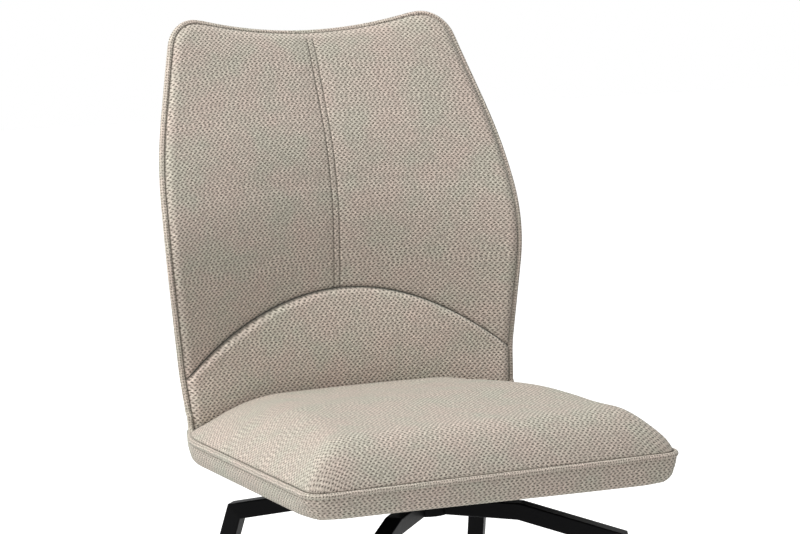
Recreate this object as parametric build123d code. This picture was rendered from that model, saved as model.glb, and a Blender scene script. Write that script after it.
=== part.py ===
from build123d import *
import math
import os

# Swivel dining chair: an upholstered seat and back that turn on a steel base
# with four splayed legs. Millimetres and degrees. The floor is z = 0, the
# swivel axis is x = y = 0, and the chair faces -Y.

# Seat cover seam and side band
seat_half_width = 237
seat_front = 185.5
seam_height = 472
front_corner = 20
rear_corner = 110
rear_lead = 48
seat_rear = 206
border_height = 34
border_draft = 6
border_wall = 18
border_lip = 20
border_foot_radius = 9
piping_radius = 3.5
piping_turn = 12
piping_side_rises = (0, 60, 110, 160, 230)
piping_side_radius = 180
piping_top_steps = (2.5, 1.5, 0.5)
piping_top_step = 70
piping_top_share = 0.6

# Seat cushion crown, above the seam
crown_front = 36
crown_middle = 45
crown_rear = 38
crown_edge = 29
crown_shoulder = 25

# Seat board and underside
board_thickness = 12
dust_cover_thickness = 1
cushion_gap = 0.3
tongue_allowance = 10

# Back: side view, front view and hollow
lumbar_face = 189.5
bend_rise_from_seat = 168
bend_radius = 240
back_lean = 23.5
flare_past_seat = 0.5
flare_slope = 0.108
taper_slope = 0.3
shoulder_radius = 488
top_dip_rise_from_seat = 456
top_dip_radius = 670
top_corner = 42
hollow_low = 36
hollow_high = 9
hollow_fade = 170

# Back: layers, measured level from the seam line towards the front or rear
pad_rim = 8
pad_thickness = 30
pad_top_thickness = 12
layer_gap = 0.3
back_board_thickness = 9
back_board_inset = 16
back_board_top_drop = 43
rear_foam = 6
rear_rim = 17
rear_edge_radius = 12
rear_foot_corner = 30
station_step = 40
station_margin = 20
far_depth = 120
pad_edge_radius = 4

# Lumbar pad and the arched seam over it
arch_rise_from_seat = 146
arch_radius = 280
arch_fall = 29.7
lumbar_hollow = 7
lumbar_fall = 12
lumbar_full_rise = 88
lumbar_arch_radius = 11

# Brackets and bolts
bracket_thickness = 2.5
bracket_width = 40
bracket_spacing = 110
bracket_foot = 75
bracket_rise = 95
bolt_radius = 3
bolt_head_radius = 5.5
bolt_head_height = 3.5
bolt_clearance = 0.2
nut_flange_radius = 9
nut_flange_thickness = 1.2
nut_barrel_radius = 4
bracket_bolt_pitch = 45
bracket_end_margin = 12
bracket_seat_gap = 0.1
nut_barrel_length = 9

# Swivel plate and spindle
plate_side = 170
plate_thickness = 4
plate_corner = 18
plate_bolt_spacing = 130
plate_slot_length = 14
spindle_radius = 15
spindle_wall = 5
spindle_tip = 1.4
collar_radius = 24
collar_height = 4
stop_groove_depth = 3
stop_groove_height = 5.5
swivel_range = 90
stop_gap = 0.4

# Hub and what it holds
hub_radius = 30
hub_wall = 3
washer_thickness = 3.9
bush_height = 8
bush_flange = 2
bush_flange_radius = 29
lower_bush_depth = 8
bush_gap = 0.05
washer_gap = 0.1
ring_thickness = 2
ring_radius = 19.5
ring_groove_depth = 1.5
ring_split = 4
spring_wire = 1.5
spring_turns = 2
spring_pitch = 3.5
spring_radius = 20.5
stop_screw_radius = 2
stop_screw_head_radius = 4
stop_screw_head_height = 2.5
stop_screw_drop = 11
cap_thickness = 2.5
cap_spigot_height = 6
cap_spigot_wall = 2
cap_gap = 0.1

# Base
tube_side = 20
tube_wall = 1.5
tube_corner = 2
arm_drop = 30
first_kink_reach = 117
second_kink_reach = 233.5
second_kink_drop = 25.5
leg_splay_side = 7.5
leg_splay_fore = 18.2
foot_height = 6
foot_plug_length = 18
foot_plug_gap = 0.2

# Margins of the cutting blocks past the part
outside_margin = 25
front_margin = 60
rear_margin = 230
top_margin = 200
trim_allowance = 6

# Worked out from the sizes above
border_foot = seam_height - border_height
board_bottom = border_foot + dust_cover_thickness + plate_thickness
board_top = board_bottom + board_thickness
plate_bottom = board_bottom - dust_cover_thickness - plate_thickness
hub_top = plate_bottom - collar_height - washer_gap - washer_thickness - bush_flange
arm_height = hub_top - arm_drop
bend_height = seam_height + bend_rise_from_seat
top_dip_height = seam_height + top_dip_rise_from_seat
arch_apex = seam_height + arch_rise_from_seat
lumbar_full_height = seam_height + lumbar_full_rise
back_board_top = top_dip_height - back_board_top_drop
flare_half_width = seat_half_width + flare_past_seat
lean_tangent = math.tan(math.radians(back_lean))
bend_rise = bend_radius * math.sin(math.radians(back_lean))
bend_setback = bend_radius * (1 - math.cos(math.radians(back_lean)))
flare_angle = math.atan(flare_slope)
taper_angle = math.atan(taper_slope)
shoulder_start = bend_height
shoulder_end = shoulder_start + shoulder_radius * (math.sin(flare_angle) + math.sin(taper_angle))
reach = seat_half_width + outside_margin
hub_bottom = arm_height - tube_side / 2
stop_screw_height = hub_top - stop_screw_drop
lower_bush_foot = hub_bottom + lower_bush_depth
ring_top = lower_bush_foot - washer_gap
ring_bottom = ring_top - ring_thickness
spindle_foot = ring_bottom - spindle_tip
block_front = lumbar_face - front_margin
block_rear = lumbar_face + rear_margin


def place(x, y, z):
    return Pos(x, y, z)


def box_between(low, high):
    """Box from its low corner to its high corner."""
    size = [b - a for a, b in zip(low, high)]
    middle = [(a + b) / 2 for a, b in zip(low, high)]
    return place(*middle) * Box(*size)


def upright(radius, low, high, x=0, y=0):
    """Vertical cylinder between two heights."""
    return place(x, y, (low + high) / 2) * Cylinder(radius, high - low)


def edge_setback(z):
    """How far behind the swivel axis the back's edge seam lies at a height."""
    rise = max(0, z - bend_height)
    if rise <= bend_rise:
        return lumbar_face + bend_radius - math.sqrt(bend_radius**2 - rise**2)
    return lumbar_face + bend_setback + (rise - bend_rise) * lean_tangent


def half_width(z):
    """Half of the back's width at a height: a flare, a round shoulder, a taper."""
    if z <= shoulder_start:
        return flare_half_width - (shoulder_start - z) * flare_slope
    drop_start = shoulder_radius * math.cos(flare_angle)
    along = min(z, shoulder_end) - shoulder_start - shoulder_radius * math.sin(flare_angle)
    round_part = flare_half_width + math.sqrt(shoulder_radius**2 - along**2) - drop_start
    return round_part - max(0, z - shoulder_end) * taper_slope


def ease(value, start, end):
    """Smooth step from 0 to 1 between two values."""
    share = min(1, max(0, (value - start) / (end - start)))
    return (1 - math.cos(math.pi * share)) / 2


def hollow(z):
    """How far the back's middle lies behind its edges."""
    return hollow_low + (hollow_high - hollow_low) * ease(z, bend_height, bend_height + hollow_fade)


def pad_depth(z):
    """Thickness of the front pads in the middle, thinner towards the top edge."""
    thin = ease(z, back_board_top, top_dip_height)
    return pad_thickness + (pad_top_thickness - pad_thickness) * thin


def pad_front(z):
    return edge_setback(z) - pad_rim, edge_setback(z) + hollow(z)


def lumbar_front(z):
    fall = max(0, z - lumbar_full_height) / (arch_apex - lumbar_full_height)
    return edge_setback(z) - pad_rim, edge_setback(z) + lumbar_hollow + lumbar_fall * fall**2


def pad_rear(z):
    return edge_setback(z), edge_setback(z) + hollow(z) + pad_depth(z)


def pads_stop(z):
    edge, middle = pad_rear(z)
    return edge - layer_gap, middle - layer_gap


def board_front(z):
    return edge_setback(z), edge_setback(z) + hollow(z) + pad_thickness


def board_rear(z):
    edge, middle = board_front(z)
    return edge + back_board_thickness, middle + back_board_thickness


def cover_rear(z):
    edge, middle = pad_rear(z)
    return edge + rear_rim, middle + back_board_thickness + rear_foam


def level_arc(edge, middle, width):
    """Arc seen from above, through both edges and the middle, run on past the edges."""
    depth = middle - edge
    radius = (width**2 + depth**2) / (2 * depth)
    past = width + trim_allowance
    end = middle - radius + math.sqrt(radius**2 - past**2)
    return (-past, end), (0, middle), (past, end)


def layer(front, rear, heights):
    """Layer of the back between two curved faces, a little wider than the back."""
    sections = []
    for z in heights:
        near = level_arc(*front(z), half_width(z))
        far = level_arc(*rear(z), half_width(z))
        outline = [
            ThreePointArc(*near),
            Line(near[2], far[2]),
            ThreePointArc(far[2], far[1], far[0]),
            Line(far[0], near[0]),
        ]
        sections.append(place(0, 0, z) * make_face(outline))
    return loft(sections)


def stations(top, step):
    """Even heights from below the back's foot to past a height."""
    foot = border_foot - station_margin
    return [foot + step * count for count in range(math.ceil((top - foot) / step) + 1)]


back_heights = stations(top_dip_height + station_margin, station_step)
lumbar_heights = stations(arch_apex + station_margin, station_step / 2)


def seam_depth(x, z):
    """How far back the face between the front pads and the rear cover lies at a point."""
    edge, middle = pad_rear(z)
    depth = middle - edge
    radius = (half_width(z) ** 2 + depth**2) / (2 * depth)
    return middle - radius + math.sqrt(radius**2 - x**2)


def side_block(inset):
    """Everything between the back's side edges, seen from the front."""
    low = border_foot - station_margin - trim_allowance
    high = top_dip_height + top_margin
    middle = (shoulder_start + shoulder_end) / 2
    right = [
        Line((half_width(low) - inset, low), (half_width(shoulder_start) - inset, shoulder_start)),
        ThreePointArc(
            (half_width(shoulder_start) - inset, shoulder_start),
            (half_width(middle) - inset, middle),
            (half_width(shoulder_end) - inset, shoulder_end),
        ),
        Line((half_width(shoulder_end) - inset, shoulder_end), (half_width(high) - inset, high)),
    ]
    left = [mirror(edge, about=Plane.YZ) for edge in right]
    ends = [
        Line((half_width(low) - inset, low), (inset - half_width(low), low)),
        Line((half_width(high) - inset, high), (inset - half_width(high), high)),
    ]
    return extrude(Plane.XZ * make_face(right + left + ends), -block_rear)


def top_block(inset):
    """Everything below the dipped top edge, square to the back's lean."""
    lean = math.radians(back_lean)
    rise = top_dip_radius - math.sqrt(top_dip_radius**2 - reach**2)
    crest = seam_depth(0, top_dip_height)
    dip = top_dip_height - inset + (crest - block_front) * lean_tangent
    outline = [
        ThreePointArc((-reach, dip + rise), (0, dip), (reach, dip + rise)),
        Line((reach, dip + rise), (reach, 0)),
        Line((reach, 0), (-reach, 0)),
        Line((-reach, 0), (-reach, dip + rise)),
    ]
    face = place(0, block_front, 0) * (Plane.XZ * make_face(outline))
    depth = (block_rear - block_front) / math.cos(lean)
    return extrude(face, depth, dir=(0, math.cos(lean), -math.sin(lean)))


def back_block(inset):
    """The back's outline through its whole depth, with its two top corners rounded."""
    block = side_block(inset) & top_block(inset)
    corners = [
        edge
        for edge in block.edges()
        if edge.bounding_box().size.Z > trim_allowance
        and edge.bounding_box().size.X < reach / 2
        and edge.bounding_box().size.Y > (block_rear - block_front) / 2
    ]
    return fillet(corners, top_corner - inset)


def arch_block():
    """Everything below the arched seam: an arc over the middle and a straight fall each side."""
    fall = math.radians(arch_fall)
    span = arch_radius * math.sin(fall)
    foot = arch_apex - arch_radius * (1 - math.cos(fall))
    outer = reach + trim_allowance
    outer_height = foot - (outer - span) * math.tan(fall)
    outline = [
        ThreePointArc((-span, foot), (0, arch_apex), (span, foot)),
        Line((span, foot), (outer, outer_height)),
        Line((outer, outer_height), (outer, 0)),
        Line((outer, 0), (-outer, 0)),
        Line((-outer, 0), (-outer, outer_height)),
        Line((-outer, outer_height), (-span, foot)),
    ]
    return extrude(Plane.XZ * make_face(outline), 2 * block_rear, both=True)


def piping_path():
    """Seam line from the front of the seat, up one side of the back and over its top."""
    low = seam_height - piping_radius
    inset = piping_radius
    heights = [bend_height + rise for rise in piping_side_rises]
    points = [
        (0, -seat_front, low),
        (seat_half_width, -seat_front, low),
        (seat_half_width, lumbar_face - rear_lead, low),
        (half_width(low) - inset, lumbar_face, low),
    ]
    points += [(half_width(z) - inset, edge_setback(z), z) for z in heights]
    crest = seam_depth(0, top_dip_height)
    for step in piping_top_steps:
        x = step * piping_top_step
        rise = (step**2 - piping_top_steps[-1] ** 2) * piping_top_step**2 / (2 * top_dip_radius)
        y = seam_depth(x, top_dip_height + rise)
        points.append((x, y, top_dip_height + rise + (crest - y) * lean_tangent - inset))
    points.append((0, points[-1][1], points[-1][2]))
    radii = [front_corner, rear_corner, piping_turn]
    radii += [piping_side_radius] * len(heights) + [top_corner - inset]
    radii += [piping_top_share * top_dip_radius] * 2
    return points, radii


def edge_piping(radius):
    """Round piping in the seam all the way round the seat and the back."""
    points, radii = piping_path()
    path = FilletPolyline(*points, radius=radii)
    start = Plane(origin=points[0], z_dir=(1, 0, 0))
    half = sweep(start * Circle(radius), path=path)
    return half + mirror(half, about=Plane.YZ)


def front_face(solid):
    """Largest face that looks forward."""
    return max(
        (face for face in solid.faces() if face.normal_at(face.center()).Y < -0.6),
        key=lambda face: face.area,
    )


def far_behind(z):
    edge, middle = pad_rear(z)
    return edge + far_depth, middle + far_depth


def behind_pads():
    """All the room behind the face where the front pads end."""
    return layer(pads_stop, far_behind, back_heights)


def upper_pads():
    """Front cover and foam over the arched seam, one solid each side of the middle seam."""
    pad = layer(pad_front, pads_stop, back_heights) & back_block(piping_radius)
    pad = pad - arch_block()
    halves = []
    for side in (-1, 1):
        low = (min(0, side * reach), 0, 0)
        high = (max(0, side * reach), 2 * block_rear, 2 * top_dip_height)
        half = pad & box_between(low, high)
        halves.append(fillet(front_face(half).edges(), pad_edge_radius))
    return halves


def lumbar_far(z):
    edge, middle = pad_rear(z)
    return edge + pad_rim, middle + pad_rim


def lumbar_pad():
    """Fuller pad under the arched seam, drawn in along the arch."""
    pad = layer(lumbar_front, lumbar_far, lumbar_heights) & side_block(piping_radius) & arch_block()
    floor = box_between((-reach, 0, board_top + cushion_gap), (reach, 2 * block_rear, top_dip_height))
    pad = pad & floor
    arch = [edge for edge in front_face(pad).edges() if edge.center().Z > lumbar_full_height - station_margin]
    return fillet(arch, lumbar_arch_radius) - behind_pads()


def back_board():
    """Moulded plywood shell inside the back."""
    board = layer(board_front, board_rear, back_heights) & back_block(back_board_inset)
    return board & box_between((-reach, 0, board_bottom), (reach, 2 * block_rear, back_board_top))


def board_room_front(z):
    return pad_rear(z)[0] - pad_rim, pad_rear(z)[1] - pad_rim


def board_room_rear(z):
    edge, middle = board_rear(z)
    return edge + layer_gap, middle + layer_gap


def board_room():
    """Room for the back board in the rear cover, open to the front."""
    room = layer(board_room_front, board_room_rear, back_heights)
    room = room & back_block(back_board_inset - layer_gap)
    return room & box_between((-reach, 0, 0), (reach, 2 * block_rear, back_board_top + layer_gap))


def rear_cover():
    """Rear cover over thin foam, wrapped round the edge of the back board."""
    cover = layer(pad_rear, cover_rear, back_heights) & back_block(piping_radius)
    cover = cover & box_between((-reach, 0, border_foot), (reach, 2 * block_rear, 2 * top_dip_height))
    foot_corners = [
        edge
        for edge in cover.edges()
        if edge.bounding_box().size.X < trim_allowance
        and edge.bounding_box().size.Z < trim_allowance
        and edge.center().Z < border_foot + trim_allowance
    ]
    cover = fillet(foot_corners, rear_foot_corner)
    rear = max(
        (face for face in cover.faces() if face.normal_at(face.center()).Y > 0.6),
        key=lambda face: face.area,
    )
    return fillet(rear.edges(), rear_edge_radius) - board_room()


def drawn_in(radius, inset):
    """Corner radius of an outline drawn in by an inset."""
    return radius - min(inset, radius / 2)


def rear_turn():
    """Angle by which the seat's outline turns in towards the foot of the back."""
    return math.atan2(seat_half_width - half_width(seam_height) + piping_radius, rear_lead)


def seat_plan(inset, draft=0):
    """Seat outline from above, drawn in by an inset all round and by a draft at the sides."""
    turn = rear_turn()
    half = seat_half_width - inset - draft
    front = inset - seat_front
    rear = seat_rear - inset
    kink = lumbar_face - rear_lead - inset * math.tan(turn / 2)
    narrow = half - (rear - kink) * math.tan(turn)
    outline = Polyline(
        (-half, front), (half, front), (half, kink), (narrow, rear), (-narrow, rear), (-half, kink), close=True
    )
    plan = make_face(outline)
    rows = plan.vertices().group_by(Axis.Y)
    plan = fillet(rows[0], drawn_in(front_corner, inset))
    rows = plan.vertices().group_by(Axis.Y)
    kinks = [corner for row in rows for corner in row if abs(corner.Y - kink) < trim_allowance / 100]
    return fillet(kinks, drawn_in(rear_corner, inset))


def seat_room(inset, low, high, rear):
    """Room inside the seat's outline between two heights, run straight on to the rear."""
    room = extrude(place(0, 0, low) * seat_plan(inset), high - low)
    end = seat_rear - inset
    half = seat_half_width - inset - (end - lumbar_face + rear_lead) * math.tan(rear_turn())
    return room + box_between((-half, 0, low), (half, max(rear, end), high))


def seat_border():
    """Padded band round the front and sides, rising at the rear corners to meet the back."""
    foot = place(0, 0, border_foot) * seat_plan(0, border_draft)
    top = place(0, 0, seam_height) * seat_plan(0)
    band = loft([foot, top], ruled=True)
    band = fillet(band.faces().sort_by(Axis.Z)[0].edges(), border_foot_radius)
    rise = lumbar_face - piping_turn
    crest = seam_height + piping_turn
    half_turn = piping_turn * math.sqrt(0.5)
    corner = [
        Line((rise, seam_height), (lumbar_face, seam_height)),
        Line((lumbar_face, seam_height), (lumbar_face, crest)),
        ThreePointArc((lumbar_face, crest), (rise + half_turn, crest - half_turn), (rise, seam_height)),
    ]
    profile = Plane.YZ * make_face(corner)
    upstand = extrude(top, piping_turn) & extrude(profile, reach, both=True)
    band = band + upstand
    band = band - seat_room(border_wall, board_bottom, crest + piping_turn, block_rear)
    band = band - seat_room(border_wall + border_lip, border_foot - trim_allowance, board_top, block_rear)
    return band & box_between((-reach, -reach, 0), (reach, lumbar_face - layer_gap, top_dip_height))


def crown():
    """Room under the crowned top of the cushion: three arched sections, front, middle and rear."""
    half = seat_half_width + trim_allowance
    stations = [
        (-seat_front - trim_allowance, crown_front),
        (0, crown_middle),
        (seat_rear + trim_allowance, crown_rear),
    ]
    sections = []
    for y, height in stations:
        outline = [
            Line((-half, 0), (half, 0)),
            Line((half, 0), (half, seam_height + crown_edge)),
            ThreePointArc(
                (half, seam_height + crown_edge),
                (0, seam_height + height),
                (-half, seam_height + crown_edge),
            ),
            Line((-half, seam_height + crown_edge), (-half, 0)),
        ]
        sections.append(place(0, y, 0) * (Plane.XZ * make_face(outline)))
    return loft(sections)


def seat_cushion(lumbar_room):
    """Crowned cushion on the seat board, resting on the border's top all round."""
    low = seam_height + cushion_gap
    top = extrude(place(0, 0, low) * seat_plan(0), 2 * crown_middle) & crown()
    crest = max(
        (face for face in top.faces() if face.normal_at(face.center()).Z > 0.7),
        key=lambda face: face.area,
    )
    top = fillet(crest.edges(), crown_shoulder)
    inside = place(0, 0, board_top) * seat_plan(border_wall + cushion_gap)
    cushion = top + extrude(inside, low - board_top)
    return cushion - place(0, -cushion_gap, 0) * lumbar_room


def seat_board(behind):
    """Plywood board inside the border, run back to the curve of the back board."""
    rear = board_front(board_bottom)[1] + tongue_allowance
    return seat_room(border_wall, board_bottom, board_top, rear) - behind


def dust_cover(behind):
    """Thin black sheet under the board, inside the border's lip."""
    rear = board_front(board_bottom)[1] + tongue_allowance
    low = board_bottom - dust_cover_thickness
    return seat_room(border_wall + border_lip, low, board_bottom, rear) - behind


def bracket_place(side):
    """Where a bracket stands: on the seat board, square to the back board's curve."""
    width = half_width(board_bottom)
    edge, middle = board_front(board_bottom)
    depth = middle - edge
    radius = (width**2 + depth**2) / (2 * depth)
    turn = math.asin(bracket_spacing / radius)
    touch = middle - radius * (1 - math.cos(turn))
    stand_off = radius - math.sqrt(radius**2 - (bracket_width / 2) ** 2) + bracket_seat_gap
    x = side * bracket_spacing
    return Pos(x, touch, board_top) * Rot(0, 0, -side * math.degrees(turn)) * Pos(0, -stand_off, 0)


def bracket_blank():
    """Steel angle: a foot that runs forward and an upright, with a bend between them."""
    half = bracket_width / 2
    foot = box_between((-half, -bracket_foot, 0), (half, 0, bracket_thickness))
    upright_leg = box_between((-half, -bracket_thickness, 0), (half, 0, bracket_rise))
    blank = foot + upright_leg
    ends = [
        edge
        for edge in blank.edges()
        if edge.length < bracket_thickness + 0.1 and edge.center().Y - edge.center().Z < 1 - bracket_foot
    ]
    return fillet(ends, bracket_width / 5)


def screw(length):
    """Pan-head screw along +Z with its head's underside at the origin."""
    head = fillet(
        upright(bolt_head_radius, 0, bolt_head_height).edges().sort_by(Axis.Z)[-1],
        bolt_head_height / 3,
    )
    return head + upright(bolt_radius, -length, 0)


def bracket_screws():
    """Screws through one bracket: two down into the seat board, two back into the back board."""
    reach_back = back_board_thickness + bracket_seat_gap
    screws = []
    for step in (0, 1):
        forward = bracket_foot - bracket_end_margin - step * bracket_bolt_pitch
        screws.append(Pos(0, -forward, bracket_thickness) * screw(board_thickness))
        height = bracket_rise - bracket_end_margin - step * bracket_bolt_pitch
        screws.append(Pos(0, -bracket_thickness, height) * Rot(90, 0, 0) * screw(reach_back))
    return screws


def corners_of_square(spacing):
    half = spacing / 2
    return [(x, y) for x in (-half, half) for y in (-half, half)]


def plate_bolts():
    """Four bolts up through the swivel plate, heads down."""
    length = board_top - plate_bottom
    bolts = []
    for x, y in corners_of_square(plate_bolt_spacing):
        bolts.append(Pos(x, y, plate_bottom) * Rot(180, 0, 0) * screw(length))
    return bolts


def board_nuts():
    """Flanged nuts set into the top of the seat board, one over each plate bolt."""
    nuts = []
    for x, y in corners_of_square(plate_bolt_spacing):
        barrel = upright(nut_barrel_radius, board_top - nut_barrel_length, board_top, x, y)
        flange = upright(nut_flange_radius, board_top, board_top + nut_flange_thickness, x, y)
        bore = upright(bolt_radius, board_bottom, board_top + bolt_radius, x, y)
        nuts.append(barrel + flange - bore)
    return nuts


def swivel_plate():
    """Steel plate with rounded corners, four slots and a central bore."""
    plan = RectangleRounded(plate_side, plate_side, plate_corner)
    plate = extrude(place(0, 0, plate_bottom) * plan, plate_thickness)
    slot = Rot(0, 0, 45) * SlotOverall(plate_slot_length, 2 * (bolt_radius + bolt_clearance))
    for x, y in corners_of_square(plate_bolt_spacing):
        turned = slot if x * y > 0 else Rot(0, 0, 90) * slot
        plate = plate - extrude(place(x, y, plate_bottom) * turned, plate_thickness)
    return plate - upright(spindle_radius - spindle_wall, plate_bottom, board_bottom)


def spindle():
    """Hollow spindle under the plate, with a collar, a stop groove and a ring groove."""
    post = upright(spindle_radius, spindle_foot, plate_bottom)
    post = post + upright(collar_radius, plate_bottom - collar_height, plate_bottom)
    post = post - upright(spindle_radius - spindle_wall, spindle_foot, plate_bottom)
    groove_floor = spindle_radius - stop_groove_depth
    swing = swivel_range + math.degrees(math.asin((stop_screw_radius + stop_gap) / groove_floor))
    low = stop_screw_height - stop_groove_height / 2
    high = stop_screw_height + stop_groove_height / 2
    left = math.radians(90 - swing)
    edge = 2 * hub_radius
    land = Polyline(
        (0, 0),
        (edge * math.cos(left), edge * math.sin(left)),
        (edge, -edge),
        (-edge, -edge),
        (-edge * math.cos(left), edge * math.sin(left)),
        close=True,
    )
    groove = upright(hub_radius, low, high) - upright(groove_floor, low, high)
    groove = groove - extrude(place(0, 0, low) * make_face(land), stop_groove_height)
    ring_slot = upright(hub_radius, ring_bottom, ring_bottom + ring_thickness)
    ring_slot = ring_slot - upright(spindle_radius - ring_groove_depth, ring_bottom, ring_top)
    return post - groove - ring_slot


def retaining_ring():
    """Split spring ring in the groove at the foot of the spindle."""
    ring = upright(ring_radius, ring_bottom, ring_top)
    ring = ring - upright(spindle_radius - ring_groove_depth, ring_bottom, ring_top)
    half = ring_split / 2
    return ring - box_between((-half, 0, ring_bottom), (half, hub_radius, ring_top))


def hub_tube():
    tube = upright(hub_radius, hub_bottom, hub_top)
    return tube - upright(hub_radius - hub_wall, hub_bottom, hub_top)


def bush(low, flange):
    """Nylon bush in the hub tube, with a flange of the given thickness over its top."""
    body = upright(hub_radius - hub_wall, low, low + bush_height)
    if flange:
        body = body + upright(bush_flange_radius, low + bush_height, low + bush_height + flange)
    return body - upright(spindle_radius + bush_gap, low, low + bush_height + flange)


def thrust_washer():
    """Washer that the spindle's collar turns on."""
    low = hub_top + bush_flange
    high = plate_bottom - collar_height - washer_gap
    return upright(bush_flange_radius, low, high) - upright(spindle_radius + bush_gap, low, high)


def coil_point(quarters, foot):
    """Place and direction on the return spring's coil after a number of quarter turns."""
    angle = quarters * math.pi / 2
    slope = spring_pitch / (2 * math.pi)
    place_on_coil = Vector(spring_radius * math.cos(angle), spring_radius * math.sin(angle), foot + slope * angle)
    way = Vector(-spring_radius * math.sin(angle), spring_radius * math.cos(angle), slope)
    return place_on_coil, way.normalized()


def coil_path(foot):
    """Coil in quarter turns, each of two arcs that meet in one direction."""
    arcs = []
    for quarter in range(4 * spring_turns):
        start, leave = coil_point(quarter, foot)
        end, arrive = coil_point(quarter + 1, foot)
        span = end - start
        both = span.dot(leave + arrive)
        bend = 2 * (1 - leave.dot(arrive))
        arm = (math.sqrt(both**2 + bend * span.dot(span)) - both) / bend
        middle = (start + leave * arm + end - arrive * arm) * 0.5
        arcs.append(TangentArc(start, middle, tangent=leave))
        arcs.append(TangentArc(middle, end, tangent=arcs[-1] % 1))
    return Wire(arcs)


def return_spring():
    """Coil round the spindle that turns the seat back to face forward."""
    foot = lower_bush_foot + bush_height + cushion_gap + spring_wire
    path = coil_path(foot)
    section = Plane(origin=path @ 0, z_dir=path % 0) * Circle(spring_wire)
    return sweep(section, path=path)


def stop_screw():
    """Screw through the hub tube whose tip runs in the spindle's groove."""
    tip = spindle_radius - stop_groove_depth + stop_gap
    shank = Pos(0, tip, stop_screw_height) * Rot(-90, 0, 0)
    body = shank * upright(stop_screw_radius, 0, hub_radius - tip)
    head = Pos(0, hub_radius, stop_screw_height) * Rot(-90, 0, 0)
    return body + head * upright(stop_screw_head_radius, 0, stop_screw_head_height)


def hub_cap():
    """Black plastic plug pushed into the foot of the hub tube."""
    outside = hub_radius - hub_wall - cap_gap
    plug = upright(outside, hub_bottom, hub_bottom + cap_spigot_height)
    return plug - upright(
        outside - cap_spigot_wall, hub_bottom + cap_thickness, hub_bottom + cap_spigot_height
    )


def leg_points(side, fore):
    """Middle line of a leg: level from the hub, a shallow fall, then down to the floor."""
    diagonal = math.sqrt(0.5)
    first = first_kink_reach * diagonal
    second = second_kink_reach * diagonal
    second_height = arm_height - second_kink_drop
    across = second_height * math.tan(math.radians(leg_splay_side))
    along = second_height * math.tan(math.radians(leg_splay_fore))
    hub_side = (hub_radius - hub_wall) * diagonal
    return [
        (side * hub_side, fore * hub_side, arm_height),
        (side * first, fore * first, arm_height),
        (side * second, fore * second, second_height),
        (side * (second + across), fore * (second + along), 0),
    ]


def leg_run(side, fore, width, corner):
    """Square bar along a leg's middle line, mitred at its two kinks and run past the floor."""
    points = [Vector(*point) for point in leg_points(side, fore)]
    fall = points[3] - points[2]
    points[3] = points[3] + fall.normalized() * tube_side
    path = Polyline(*points)
    start = points[0]
    along = (points[1] - points[0]).normalized()
    level = Vector(-along.Y, along.X, 0)
    section = Plane(origin=start, x_dir=level, z_dir=along) * RectangleRounded(width, width, corner)
    return sweep(section, path=path, transition=Transition.RIGHT)


def leg(side, fore):
    """Square tube from the hub to its foot, in three mitred lengths."""
    outside = leg_run(side, fore, tube_side, tube_corner)
    inside = leg_run(side, fore, tube_side - 2 * tube_wall, tube_corner - tube_wall)
    tube = outside - inside
    room = box_between((-2 * reach, -2 * reach, foot_height), (2 * reach, 2 * reach, hub_top))
    return (tube & room) - upright(hub_radius, hub_bottom, hub_top)


def leg_foot(side, fore):
    """Plastic foot: a plug inside the tube and a tread that stands flat on the floor."""
    tread = leg_run(side, fore, tube_side, tube_corner)
    tread = tread & box_between((-2 * reach, -2 * reach, 0), (2 * reach, 2 * reach, foot_height))
    inner = tube_side - 2 * tube_wall - 2 * foot_plug_gap
    plug = leg_run(side, fore, inner, tube_corner - tube_wall)
    top = foot_height + foot_plug_length
    plug = plug & box_between((-2 * reach, -2 * reach, foot_height / 2), (2 * reach, 2 * reach, top))
    return tread + plug


def write_part(name, shapes):
    solids = [solid for shape in shapes for solid in shape.solids()]
    export_step(Compound(solids), f"parts/{name}.step")


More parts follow.
